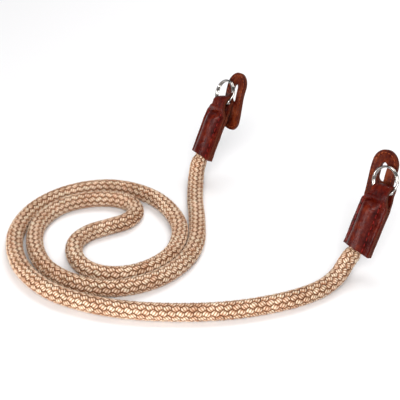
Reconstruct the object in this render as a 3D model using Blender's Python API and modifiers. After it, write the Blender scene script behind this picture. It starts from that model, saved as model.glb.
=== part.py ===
"""Coiled cotton strap: a thick braided rope with a stitched leather end and a split ring at each side.

Metres, +Z up. The origin is the point where the right ring hangs. +X runs from the left ring's
hanging point to the right one's, and the rope lies in its coil HANG_HEIGHT below them.
"""
import math

import bmesh
import bpy
from mathutils import Matrix, Vector

# The two hanging points
HANG_HEIGHT = 0.061        # above the surface that the rope lies on
HANG_SPACING = 0.1343      # between the left and the right ring

# Rope
ROPE_DIA = 0.0095
ROPE_SQUEEZED = 0.0076     # thickness that the stitched leather presses it to
ROPE_IN_SLEEVE = 0.024     # length hidden in each leather end
ROPE_OPENING = 0.004       # length below each mouth over which it swells to its full thickness
ROPE_STRAIGHT = 0.0015     # straight stretch below each leather end's mouth
ROPE_SIDES_RES = 3         # bevel resolution, 10 sides

# Leather ends, sizes along the strap counted down from the hanging point
LEATHER = 0.0015           # wall
MOUTH_AT = 0.049           # where the rope comes out
SLEEVE_LENGTH = 0.027      # stitched body, from the mouth up to the shoulder
SHOULDER_LENGTH = 0.008    # where the body narrows to the tongue
SLEEVE_WIDTH = 0.0184
TONGUE_LEFT_PLAY = 0.0026  # from the tongue's left edge to the ring's inside, at its widest
TONGUE_RIGHT_PLAY = 0.0003   # the same at its right edge: the tongue has slid along the ring
TONGUE_CROWN = 0.0006      # how much higher the tongue's fold stands in its middle
RING_CLOSING = 0.0045      # length below the ring over which the two layers come together
ROPE_RISE = 0.0055         # length over which the layers open round the rope's end
POCKET_SIDE = {"left": 0.0, "right": -0.0013}   # the rope's pocket off the sleeve's middle, along X
MOUTH_RISE = 0.0016        # how much higher the mouth's edge is over the rope
LAYER_GAP = 0.0003         # between the two layers along the stitched edges
FIT_GAP = 0.0003           # between neighbouring pieces
WRAP_ANGLE = math.radians(65)   # how far the leather hugs the rope on each side of its crest

# Split rings, two turns of round wire
RING_OUTER_DIA = 0.0166
RING_WIRE_DIA = 0.0012
RING_TURN_GAP = 0.00008    # between the two turns
RING_STEP_ANGLE = math.radians(42)   # where the wire steps from one turn to the next
RING_END_GAP_ANGLE = math.radians(5)
RING_SPLIT_AT = math.radians(20)     # above the ring's widest point

# Protectors, the round-headed tabs behind the rings
PROTECTOR = 0.0018         # leather thickness
PROTECTOR_WIDTH = 0.0166
PROTECTOR_HEAD_DOWN = 0.0010   # from the hanging point to the middle of its round head
PROTECTOR_TAIL = 0.0270    # from the hanging point down to the tail's end
PROTECTOR_TAIL_CORNER = 0.0060
PROTECTOR_GAP = 0.0004     # to the ring and the sleeve in front of it
PROTECTOR_SIDE = 0.0055    # how far it sits to the inner side of the ring
SLOT_WIDTH = 0.0046        # the protector's upright slot
SLOT_LENGTH = 0.0110
SLOT_DOWN = 0.0050         # from the hanging point to the slot's middle
SLOT_CUT = 0.010           # how far the slot's cutter reaches on each side of the hanging plane
WELD = 0.00001             # distance under which a cutter's doubled corners merge

# Each end's lean in degrees about X, Y and Z: it hangs forward, towards the coil
END_LEAN = {"left": (-25.5, -2.9, -6.0), "right": (-20.7, 3.4, 0.0)}

# The rope's route between the two mouths, chosen by hand: x, y and lift above lying flat
ROUTE = (
    (-0.1330, -0.0252, 0.0068), (-0.1286, -0.0298, 0.0027), (-0.1205, -0.0366, 0.0005),
    (-0.1085, -0.0458, 0.0), (-0.0970, -0.0536, 0.0), (-0.0862, -0.0615, 0.0),
    (-0.0758, -0.0699, 0.0), (-0.0670, -0.0805, 0.0), (-0.0613, -0.0929, 0.0),
    (-0.0588, -0.1056, 0.0), (-0.0596, -0.1172, 0.0), (-0.0632, -0.1282, 0.0),
    (-0.0698, -0.1376, 0.0), (-0.0796, -0.1449, 0.0), (-0.0913, -0.1493, 0.0),
    (-0.1043, -0.1508, 0.0), (-0.1183, -0.1480, 0.0), (-0.1313, -0.1420, 0.0),
    (-0.1424, -0.1336, 0.0), (-0.1501, -0.1224, 0.0), (-0.1532, -0.1096, 0.0),
    (-0.1515, -0.0979, 0.0), (-0.1460, -0.0872, 0.0), (-0.1384, -0.0798, 0.0),
    (-0.1296, -0.0770, 0.0), (-0.1210, -0.0800, 0.0), (-0.1164, -0.0894, 0.0),
    (-0.1176, -0.1016, 0.0), (-0.1190, -0.1130, 0.0), (-0.1159, -0.1237, 0.0),
    (-0.1075, -0.1309, 0.0), (-0.0960, -0.1344, 0.0), (-0.0847, -0.1326, 0.0),
    (-0.0758, -0.1260, 0.0), (-0.0706, -0.1158, 0.0), (-0.0695, -0.1036, 0.0),
    (-0.0726, -0.0908, 0.0), (-0.0808, -0.0789, 0.0), (-0.0933, -0.0689, 0.0),
    (-0.1091, -0.0632, 0.0), (-0.1260, -0.0619, 0.0), (-0.1409, -0.0660, 0.0),
    (-0.1527, -0.0740, 0.0), (-0.1601, -0.0850, 0.0), (-0.1639, -0.0997, 0.0),
    (-0.1630, -0.1156, 0.0), (-0.1568, -0.1314, 0.0), (-0.1457, -0.1450, 0.0),
    (-0.1311, -0.1549, 0.0), (-0.1146, -0.1608, 0.0), (-0.0980, -0.1622, 0.0),
    (-0.0814, -0.1597, 0.0), (-0.0655, -0.1525, 0.0), (-0.0504, -0.1421, 0.0),
    (-0.0373, -0.1294, 0.0), (-0.0258, -0.1157, 0.0), (-0.0157, -0.1008, 0.0),
    (-0.0081, -0.0859, 0.0), (-0.0026, -0.0710, 0.0), (0.0006, -0.0573, 0.0),
    (0.0014, -0.0443, 0.0003), (-0.0004, -0.0326, 0.0019), (-0.0030, -0.0240, 0.0058),
)
TUBE_STEP = 2.0 * ROPE_DIA      # longest straight stretch of the rope's tube
TUBE_TURN = math.radians(16)    # most that it turns from one stretch to the next

COTTON = (0.62, 0.42, 0.24)
LEATHER_RED_BROWN = (0.16, 0.035, 0.018)
NICKEL = (0.72, 0.70, 0.67)


def clear_scene():
    for old in list(bpy.data.objects):
        bpy.data.objects.remove(old, do_unlink=True)


def material(name, colour, roughness, metallic=0.0):
    made = bpy.data.materials.new(name)
    made.use_nodes = True
    shader = made.node_tree.nodes["Principled BSDF"]
    shader.inputs["Base Color"].default_value = (*colour, 1.0)
    shader.inputs["Roughness"].default_value = roughness
    shader.inputs["Metallic"].default_value = metallic
    return made


def ease(share):
    """Smooth step from 0 to 1."""
    share = min(max(share, 0.0), 1.0)
    return share * share * (3.0 - 2.0 * share)


def end_matrix(side):
    """Where an end's own frame sits: its -Z runs down the strap, its +X across, its -Y to the front."""
    lean_x, lean_y, lean_z = (math.radians(angle) for angle in END_LEAN[side])
    turn = Matrix.Rotation(lean_z, 4, "Z") @ Matrix.Rotation(lean_y, 4, "Y") @ Matrix.Rotation(lean_x, 4, "X")
    place = Vector((0.0 if side == "right" else -HANG_SPACING, 0.0, 0.0))
    return Matrix.Translation(place) @ turn


def grid_mesh(name, rows):
    """An open sheet through rows of points, each row as long as the others."""
    sheet = bmesh.new()
    lines = [[sheet.verts.new(point) for point in row] for row in rows]
    for upper, lower in zip(lines, lines[1:]):
        for k in range(len(upper) - 1):
            sheet.faces.new((upper[k], upper[k + 1], lower[k + 1], lower[k]))
    bmesh.ops.recalc_face_normals(sheet, faces=sheet.faces)
    mesh = bpy.data.meshes.new(name)
    sheet.to_mesh(mesh)
    sheet.free()
    return mesh


def add_leather(name, mesh, wall, side, finish, collection):
    piece = bpy.data.objects.new(name, mesh)
    collection.objects.link(piece)
    mesh.materials.append(finish)
    piece.matrix_world = end_matrix(side)
    thick = piece.modifiers.new("wall", "SOLIDIFY")
    thick.thickness = wall
    thick.offset = 0.0
    thick.use_even_offset = True
    thick.use_rim = True
    mesh.shade_smooth()
    mesh.set_sharp_from_angle(angle=math.radians(50))
    return piece


# The split ring's section and the fold of the tongue that passes round it
RING_RADIUS = (RING_OUTER_DIA - RING_WIRE_DIA) / 2
RING_TURN_PITCH = RING_WIRE_DIA + RING_TURN_GAP
RING_HALF_AXIAL = RING_WIRE_DIA / 2 + RING_TURN_PITCH / 2
RING_INSIDE = RING_RADIUS - RING_WIRE_DIA / 2
FOLD_INSIDE = math.hypot(RING_HALF_AXIAL, RING_WIRE_DIA / 2) + FIT_GAP
FOLD_RADIUS = FOLD_INSIDE + LEATHER / 2
TONGUE_RIGHT_EDGE = RING_INSIDE - TONGUE_RIGHT_PLAY
TONGUE_LEFT_EDGE = TONGUE_LEFT_PLAY - RING_INSIDE
TONGUE_HALF = (TONGUE_RIGHT_EDGE - TONGUE_LEFT_EDGE) / 2
TONGUE_SIDE = (TONGUE_RIGHT_EDGE + TONGUE_LEFT_EDGE) / 2
SHOULDER_AT = MOUTH_AT - SLEEVE_LENGTH
TONGUE_AT = SHOULDER_AT - SHOULDER_LENGTH
FLANGE_HALF = (LAYER_GAP + LEATHER) / 2
ROPE_WRAP_RADIUS = ROPE_SQUEEZED / 2 + FIT_GAP + LEATHER / 2
ROPE_END_AT = MOUTH_AT - ROPE_IN_SLEEVE


def seat_at(across):
    """How far down the fold's axis lies where its inside rests on the ring's two turns."""
    wire_top = RING_RADIUS + math.sqrt(RING_INSIDE ** 2 - across ** 2)
    return wire_top - FIT_GAP + math.sqrt(FOLD_INSIDE ** 2 - (RING_TURN_PITCH / 2) ** 2)


def fold_at(share):
    """How far down the axis of the tongue's fold lies, from its left edge (-1) to its right edge (1)."""
    left = seat_at(TONGUE_LEFT_EDGE)
    right = seat_at(TONGUE_RIGHT_EDGE)
    return left + (right - left) * (1.0 + share) / 2 - TONGUE_CROWN * (1.0 - share ** 2)


def body_columns(reach):
    """Distances across the body from the rope's middle to an edge at the reach: round the rope, then flat."""
    hug = [ROPE_WRAP_RADIUS * math.sin(WRAP_ANGLE * k / 4) for k in range(5)]
    edge_starts = hug[-1] + (ROPE_WRAP_RADIUS * math.cos(WRAP_ANGLE) - FLANGE_HALF) / math.tan(WRAP_ANGLE)
    return hug + [edge_starts, edge_starts + 0.35 * (reach - edge_starts), reach]


def rope_hug(across):
    """Half the distance between the two layers' middles where they close round the rope."""
    crest = ROPE_WRAP_RADIUS * math.sin(WRAP_ANGLE)
    across = abs(across)
    if across <= crest:
        return math.sqrt(ROPE_WRAP_RADIUS ** 2 - across ** 2)
    slope = ROPE_WRAP_RADIUS * math.cos(WRAP_ANGLE) - (across - crest) * math.tan(WRAP_ANGLE)
    return max(slope, FLANGE_HALF)


def narrowing(down):
    """1 on the sleeve's body, 0 on the tongue."""
    return ease((down - TONGUE_AT) / (SHOULDER_AT - TONGUE_AT))


def layer_offset(down, across):
    """Half the distance between the two leather layers' middles, at a distance from the rope's middle."""
    rope_share = ease((down - ROPE_END_AT + FIT_GAP + ROPE_RISE) / ROPE_RISE)
    ring_bottom = RING_OUTER_DIA - RING_WIRE_DIA / 2 + FIT_GAP
    ring_share = 1.0 - ease((down - ring_bottom) / RING_CLOSING)
    hug = rope_hug(across) - FLANGE_HALF
    return FLANGE_HALF + rope_share * hug + ring_share * (FOLD_RADIUS - FLANGE_HALF)


def mouth_rise(down, across):
    """How much the leather's rows rise over the rope as they near the mouth."""
    bulge = (rope_hug(across) - FLANGE_HALF) / (ROPE_WRAP_RADIUS - FLANGE_HALF)
    return MOUTH_RISE * bulge * ease((down - ROPE_END_AT) / ROPE_IN_SLEEVE)


def sleeve_rows(pocket):
    """Rows of the folded sheet: up the front from the mouth, over the ring's wire, and down the back."""
    body = {hand: body_columns(SLEEVE_WIDTH / 2 - hand * pocket) for hand in (-1, 1)}
    count = len(body[1])
    shares = [k / (count - 1) for k in range(count)]
    fold = fold_at(0.0)
    levels = [MOUTH_AT + (ROPE_END_AT - MOUTH_AT) * k / 3 for k in range(4)]
    levels += [ROPE_END_AT + (fold - ROPE_END_AT) * k / 9 for k in range(1, 10)]

    def across_at(down, k, hand):
        keep = narrowing(down)
        return keep * body[hand][k] + (1.0 - keep) * shares[k] * TONGUE_HALF

    def row(level, place):
        right = [place(level, k, 1) for k in range(count)]
        left = [place(level, k, -1) for k in range(count - 1, 0, -1)]
        return left + right

    def sideways(level, k, hand):
        keep = narrowing(level)
        return hand * across_at(level, k, hand) + keep * pocket + (1.0 - keep) * TONGUE_SIDE

    def on_layer(face):
        def place(level, k, hand):
            across = across_at(level, k, hand)
            bend = 1.0 - ease((level - fold) / (SHOULDER_AT - fold))
            down = level + bend * (fold_at(hand * shares[k]) - fold) - mouth_rise(level, across)
            return sideways(level, k, hand), face * layer_offset(level, across), -down
        return place

    def on_fold(angle):
        def place(level, k, hand):
            down = fold_at(hand * shares[k]) - FOLD_RADIUS * math.sin(angle)
            return sideways(level, k, hand), -FOLD_RADIUS * math.cos(angle), -down
        return place

    rows = [row(level, on_layer(-1)) for level in levels]
    rows += [row(fold, on_fold(math.pi * k / 8)) for k in range(1, 8)]
    rows += [row(level, on_layer(1)) for level in reversed(levels)]
    return rows


def add_sleeve(side, finish, collection):
    name = f"leather_sleeve_{side}"
    rows = sleeve_rows(POCKET_SIDE[side])
    return add_leather(name, grid_mesh(name, rows), LEATHER, side, finish, collection)


def behind_sleeve(down, piece_wall):
    """How far behind the centre plane a second wall's middle lies when it rests on the sleeve's back."""
    step = LEATHER / 2
    slope = (layer_offset(down + step, 0.0) - layer_offset(down, 0.0)) / step
    return layer_offset(down, 0.0) + (LEATHER + piece_wall) / 2 * math.hypot(1.0, slope)


def protector_rows(inward):
    """Rows of the round-headed tab, from the top of its head down to its tail."""
    head = PROTECTOR_WIDTH / 2
    angles = [math.radians(a) for a in (6, 18, 32, 46, 60, 75, 90)]
    levels = [(PROTECTOR_HEAD_DOWN - head * math.cos(a), head * math.sin(a)) for a in angles]
    straight = PROTECTOR_TAIL - PROTECTOR_TAIL_CORNER - PROTECTOR_HEAD_DOWN
    levels += [(PROTECTOR_HEAD_DOWN + straight * k / 8, head) for k in range(1, 9)]
    for angle in (math.radians(a) for a in (22, 44, 66, 86)):
        down = PROTECTOR_TAIL - PROTECTOR_TAIL_CORNER * (1.0 - math.sin(angle))
        levels.append((down, head - PROTECTOR_TAIL_CORNER * (1.0 - math.cos(angle))))
    shares = [k / 6 for k in range(-6, 7)]
    behind_ring = RING_HALF_AXIAL + PROTECTOR / 2
    behind_rope = behind_sleeve(MOUTH_AT, PROTECTOR)
    rows = []
    for down, half in levels:
        taut = behind_ring + ease(down / ROPE_END_AT) * (behind_rope - behind_ring)
        clear = behind_sleeve(down, PROTECTOR) if down > fold_at(0.0) else behind_ring
        behind = max(taut, clear) + PROTECTOR_GAP
        rows.append([(inward * PROTECTOR_SIDE + share * half, behind, -down) for share in shares])
    return rows


def slot_cutter(name, place, cutters):
    """A round-ended bar through the protector, along its own Y."""
    outline = bpy.data.curves.new(name, "CURVE")
    outline.dimensions = "2D"
    outline.fill_mode = "BOTH"
    outline.extrude = SLOT_CUT
    spline = outline.splines.new("POLY")
    half = SLOT_WIDTH / 2
    straight = SLOT_LENGTH / 2 - half
    turns = [math.pi * k / 8 for k in range(9)]
    corners = [(half * math.cos(a), straight + half * math.sin(a)) for a in turns]
    corners += [(-x, -y) for x, y in corners]
    spline.points.add(len(corners) - 1)
    for target, (x, y) in zip(spline.points, corners):
        target.co = (x, y, 0.0, 1.0)
    spline.use_cyclic_u = True
    flat = bpy.data.objects.new(name, outline)
    bpy.context.scene.collection.objects.link(flat)
    shape = bpy.data.meshes.new_from_object(flat.evaluated_get(bpy.context.evaluated_depsgraph_get()))
    bpy.data.objects.remove(flat)
    solid = bmesh.new()
    solid.from_mesh(shape)
    bmesh.ops.remove_doubles(solid, verts=solid.verts, dist=WELD)
    bmesh.ops.recalc_face_normals(solid, faces=solid.faces)
    solid.to_mesh(shape)
    solid.free()
    cutter = bpy.data.objects.new(name, shape)
    cutters.objects.link(cutter)
    cutter.matrix_world = place
    cutter.hide_render = True
    cutter.display_type = "WIRE"
    return cutter


def add_protector(side, finish, collection, cutters):
    name = f"leather_protector_{side}"
    inward = -1.0 if side == "right" else 1.0
    rows = protector_rows(inward)
    piece = add_leather(name, grid_mesh(name, rows), PROTECTOR, side, finish, collection)
    middle = Matrix.Translation(Vector((inward * PROTECTOR_SIDE, 0.0, -SLOT_DOWN)))
    upright = Matrix.Rotation(math.pi / 2, 4, "X")
    cut = piece.modifiers.new("slot", "BOOLEAN")
    cut.operation = "DIFFERENCE"
    cut.object = slot_cutter(f"slot_cutter_{side}", end_matrix(side) @ middle @ upright, cutters)
    return piece


def wire_curve(name, points, diameter, resolution, finish, collection, swells=None):
    """A round wire or rope along points, with its ends capped and its thickness scaled at each point."""
    curve = bpy.data.curves.new(name, "CURVE")
    curve.dimensions = "3D"
    curve.bevel_depth = diameter / 2
    curve.bevel_resolution = resolution
    curve.use_fill_caps = True
    spline = curve.splines.new("POLY")
    spline.points.add(len(points) - 1)
    for target, point, swell in zip(spline.points, points, swells or [1.0] * len(points)):
        target.co = (*point, 1.0)
        target.radius = swell
    spline.use_smooth = True
    curve.materials.append(finish)
    piece = bpy.data.objects.new(name, curve)
    collection.objects.link(piece)
    return piece


def ring_points():
    """Two turns of wire side by side, stepping across once, in the end's own frame."""
    whole = 4 * math.pi - RING_STEP_ANGLE - RING_END_GAP_ANGLE
    steps = 60
    points = []
    for k in range(steps + 1):
        turned = whole * k / steps
        step = ease((turned - 2 * math.pi + RING_STEP_ANGLE) / RING_STEP_ANGLE)
        angle = RING_SPLIT_AT + turned
        across = RING_RADIUS * math.cos(angle)
        down = RING_RADIUS - RING_RADIUS * math.sin(angle)
        points.append(Vector((across, (step - 0.5) * RING_TURN_PITCH, -down)))
    return points


def add_ring(side, finish, collection):
    piece = wire_curve(f"split_ring_{side}", ring_points(), RING_WIRE_DIA, 2, finish, collection)
    piece.matrix_world = end_matrix(side)
    return piece


def smooth_curve(points, per_span=12):
    """Centripetal Catmull-Rom curve through the points."""
    guide = [2 * points[0] - points[1], *points, 2 * points[-1] - points[-2]]
    curve = []
    for p0, p1, p2, p3 in zip(guide, guide[1:], guide[2:], guide[3:]):
        t1 = math.sqrt((p1 - p0).length)
        t2 = t1 + math.sqrt((p2 - p1).length)
        t3 = t2 + math.sqrt((p3 - p2).length)
        for k in range(per_span):
            t = t1 + (t2 - t1) * k / per_span
            a1 = p0.lerp(p1, t / t1)
            a2 = p1.lerp(p2, (t - t1) / (t2 - t1))
            a3 = p2.lerp(p3, (t - t2) / (t3 - t2))
            b1 = a1.lerp(a2, t / t2)
            b2 = a2.lerp(a3, (t - t1) / (t3 - t1))
            curve.append(b1.lerp(b2, (t - t1) / (t2 - t1)))
    curve.append(points[-1].copy())
    return curve


def rope_route():
    """The rope's whole way: out of the left sleeve, through the coil, into the right sleeve."""
    lying = ROPE_DIA / 2 - HANG_HEIGHT
    laid = [Vector((x, y, lying + lift)) for x, y, lift in ROUTE]
    depths = (ROPE_END_AT, (ROPE_END_AT + MOUTH_AT) / 2, MOUTH_AT, MOUTH_AT + ROPE_STRAIGHT)
    inside = {}
    for side, pocket in POCKET_SIDE.items():
        inside[side] = [end_matrix(side) @ Vector((pocket, 0.0, -down)) for down in depths]
    return inside["left"] + laid + inside["right"][::-1]


def swell_at(from_end):
    """Share of the rope's full thickness at a length from its nearer end."""
    opened = ease((from_end - ROPE_IN_SLEEVE) / ROPE_OPENING)
    return (ROPE_SQUEEZED + (ROPE_DIA - ROPE_SQUEEZED) * opened) / ROPE_DIA


def tube_stations(route):
    """Fewer points along the route, each with its swell.

    A new one comes after a full step, once the way has turned enough, and at each mark of the swelling.
    """
    curve = smooth_curve(route)
    steps = [(there - here).length for here, there in zip(curve, curve[1:])]
    length = sum(steps)
    marks = [ROPE_IN_SLEEVE + ROPE_OPENING * k / 2 for k in range(3)]
    marks += [length - mark for mark in reversed(marks)] + [2 * length]
    stations = [(curve[0], swell_at(0.0))]
    along = 0.0
    run = 0.0
    turned = 0.0
    for before, here, after, step in zip(curve, curve[1:], curve[2:], steps):
        along += step
        run += step
        turned += (here - before).angle(after - here)
        marked = along >= marks[0]
        if marked:
            marks.pop(0)
        if marked or run >= TUBE_STEP or turned >= TUBE_TURN:
            stations.append((here, swell_at(min(along, length - along))))
            run = 0.0
            turned = 0.0
    stations.append((curve[-1], swell_at(0.0)))
    return stations


def add_rope(finish, collection):
    points, swells = zip(*tube_stations(rope_route()))
    return wire_curve("rope", points, ROPE_DIA, ROPE_SIDES_RES, finish, collection, swells)


def build():
    clear_scene()
    parts = bpy.data.collections.new("cotton_strap")
    cutters = bpy.data.collections.new("cutters")
    for collection in (parts, cutters):
        bpy.context.scene.collection.children.link(collection)
    add_rope(material("braided_cotton", COTTON, 0.75), parts)
    for side in END_LEAN:
        add_sleeve(side, material(f"sleeve_leather_{side}", LEATHER_RED_BROWN, 0.5), parts)
        add_protector(side, material(f"protector_leather_{side}", LEATHER_RED_BROWN, 0.5), parts, cutters)
        add_ring(side, material(f"ring_nickel_{side}", NICKEL, 0.25, 1.0), parts)


build()
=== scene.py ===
"""Looks of the coiled cotton strap: its braid, stitched leather ends, split rings and protectors.

Metres, +Z up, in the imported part's frame. The origin is the point where the right ring hangs. Each end
has a frame of its own: its -Z runs down the strap, its +X across and its -Y to the front.
"""

import math

import bmesh
import bpy
from mathutils import Matrix, Vector, noise


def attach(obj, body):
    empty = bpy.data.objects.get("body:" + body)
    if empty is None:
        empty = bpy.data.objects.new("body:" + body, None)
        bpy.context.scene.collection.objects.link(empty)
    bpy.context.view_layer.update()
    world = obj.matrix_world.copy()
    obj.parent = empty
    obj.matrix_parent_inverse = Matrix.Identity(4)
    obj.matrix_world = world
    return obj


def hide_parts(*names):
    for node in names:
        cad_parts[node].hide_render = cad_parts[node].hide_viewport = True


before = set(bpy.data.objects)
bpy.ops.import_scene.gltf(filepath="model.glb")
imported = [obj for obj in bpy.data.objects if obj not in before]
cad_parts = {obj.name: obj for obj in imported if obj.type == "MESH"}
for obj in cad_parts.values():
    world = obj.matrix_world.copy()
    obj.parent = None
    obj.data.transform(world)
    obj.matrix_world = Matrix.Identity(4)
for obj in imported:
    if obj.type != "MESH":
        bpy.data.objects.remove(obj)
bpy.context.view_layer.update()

# Camera: where it stands, the level part of its line of sight, and how far down it looks
CAMERA_AT = (0.3479, -0.39395, 0.2914)
CAMERA_WAY = (-0.793, 0.611)
CAMERA_DOWN = math.radians(31.1)
CAMERA_LENS = 101.97
PICTURE_WIDTH = 36.0

# Lights: where each one is, what it is aimed at, its size, power and colour
LIGHTS = {
    "overhead": ((-0.28, 0.42, 0.95), (-0.40, 0.42, -0.06), 0.9, 8.8, (1.0, 1.0, 1.0)),
    "key": ((0.66, -0.66, 0.70), (-0.08, -0.08, -0.04), 0.7, 13.2, (1.0, 0.985, 0.975)),
    "low_front": ((0.06, -1.10, 0.0), (0.0, 0.0, -0.03), 0.12, 7.0, (1.0, 0.98, 0.97)),
}
STUDIO_STRENGTH = 0.18
FLOOR_HALF = 3.0
FLOOR_BELOW = 0.0001           # below the rope, so that the two never share a plane
FLOOR_COLOUR = (0.92, 0.92, 0.93, 1.0)

# The two hanging points
HANG_HEIGHT = 0.061
HANG_SPACING = 0.1343
OUTWARD = {"left": -1.0, "right": 1.0}   # along X
END_LEAN = {"left": (-25.5, -2.9, -6.0), "right": (-20.7, 3.4, 0.0)}

# Rope
ROPE_DIA = 0.0095
ROPE_SQUEEZED = 0.0076
ROPE_IN_SLEEVE = 0.024
ROPE_OPENING = 0.004
ROPE_STRAIGHT = 0.0015

# Leather ends, counted down from the hanging point
LEATHER = 0.0015
MOUTH_AT = 0.049
SLEEVE_LENGTH = 0.027
SHOULDER_LENGTH = 0.008
SLEEVE_WIDTH = 0.0184
TONGUE_LEFT_PLAY = 0.0026
TONGUE_RIGHT_PLAY = 0.0003
TONGUE_CROWN = 0.0006
RING_CLOSING = 0.0045
ROPE_RISE = 0.0055
POCKET_SIDE = {"left": 0.0, "right": -0.0013}
MOUTH_RISE = 0.0016
LAYER_GAP = 0.0003
FIT_GAP = 0.0003
WRAP_ANGLE = math.radians(65)
EDGE_ROUNDING = 0.00032
HUG_COLUMNS = 14               # over the rope, from its middle to one side
BEND_COLUMNS = 3
FLAT_COLUMNS = 14
LAYER_ROWS = 84
FOLD_ROWS = 24

# Split rings
RING_OUTER_DIA = 0.0166
RING_WIRE_DIA = 0.0012
RING_TURN_GAP = 0.00008
RING_STEP_ANGLE = math.radians(42)
RING_END_GAP_ANGLE = math.radians(5)
RING_SPLIT_AT = math.radians(20)
RING_STEPS = 240               # along both its turns

# Protectors
PROTECTOR = 0.0018
PROTECTOR_WIDTH = 0.0166
PROTECTOR_HEAD_DOWN = 0.0010
PROTECTOR_TAIL = 0.0270
PROTECTOR_TAIL_CORNER = 0.0060
PROTECTOR_GAP = 0.0004
PROTECTOR_SIDE = 0.0055
SLOT_WIDTH = 0.0046
SLOT_LENGTH = 0.0110
SLOT_DOWN = 0.0050

# Braid: ten strands wind each way, over two and under two, and each strand is three yarns side by side
STRANDS = 10
STRAND_STEPS = 1040
BRAID_LEAD = 0.0435            # along the rope for one turn of a strand
BRAID_MIDDLE = 0.0039          # radius midway between the strands above and below
BRAID_WEAVE = 0.0005           # how far a strand swings out and in
FLOAT_LEAN = 0.00095           # how much a strand steepens where it shows
STRAND_WIDTH = 0.00222
FLOAT_SPREAD = 0.12            # how much wider a strand is where it shows
STRAND_THICKNESS = 0.0011
BRAID_ROLL = 0.6               # turns of the whole braid along the rope
BRAID_UNEVENNESS = 0.25        # how much of a strand's width and thickness comes and goes
UNEVEN_PER_METRE = 160.0
STRAND_APART = 7.3             # sets each strand's unevenness apart from the next one's
YARN_APART = 37.0              # and its colours, in millimetres
CORE_RADIUS = 0.0034
CORE_SIDES = 12
YARN_PITCH = 0.68              # from yarn to yarn, as a share of half the strand's width
# A strand's section from its left edge, over its yarns and back below: across and height, as shares
STRAND_SECTION = (
    (-1.0, -0.1), (-YARN_PITCH, 0.85), (-YARN_PITCH / 2, 0.25), (0.0, 1.0), (YARN_PITCH / 2, 0.25),
    (YARN_PITCH, 0.85), (1.0, -0.1), (0.5, -0.7), (-0.5, -0.7),
)

# Stitches
STITCH_OUT = {-1: 0.0067, 1: 0.0054}   # from the rope's middle, on its left and its right
STITCH_SPACING = 0.0031
STITCH_LENGTH = 0.0027
STITCH_SLANT = 0.16
THREAD_RADIUS = 0.00029
STITCH_FROM_MOUTH = 0.0022
STITCH_UP_SHOULDER = 0.75      # where a line of stitches ends, as a share of the shoulder
STITCH_PROUD = 0.00005         # the thread's middle above the leather
SEAM_POINTS = 60
SLOPE_STEP = 0.0001            # over which the leather's slope is taken
HOLE_SHAPE = (1.25, 1.0, 0.35)         # half sizes of a needle hole's dark grain of painted shade, in thread radii

# Relief of a leather end: how deep and how wide it is pressed in along its seams and edges
SEAM_DEPTH = 0.00024
SEAM_HALF = 0.0011
SEAM_EASING = 0.45             # how much shallower it is between stitches
SEAM_UP_SHOULDER = 0.6
SEAM_FADE = 0.003
RIM_DEPTH = 0.00022
RIM_HALF = 0.0007
RIM_FROM_EDGE = 0.0012

# Protector's finish
PROTECTOR_STEPS = 132          # points round its outline
PROTECTOR_RINGS = 26           # from its slot to its edge
CORNER_STEPS = 24              # round a quarter of its head and of each lower corner
SLOT_CORNER_STEPS = 12
PROTECTOR_LINE = 0.0016        # from its edge to the creased line with its stitches
CREASE_DEPTH = 0.00024
CREASE_HALF = 0.0006
TAB_WAVES = 0.00022            # how far its surface waves out and in
TAB_WAVES_PER_METRE = 150.0
WAVES_FADE = 0.002
BORDER_SPACING = 0.0024
BORDER_STITCH = 0.0020
BORDER_SLANT = 0.1
BORDER_THREAD_RADIUS = 0.00024

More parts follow.
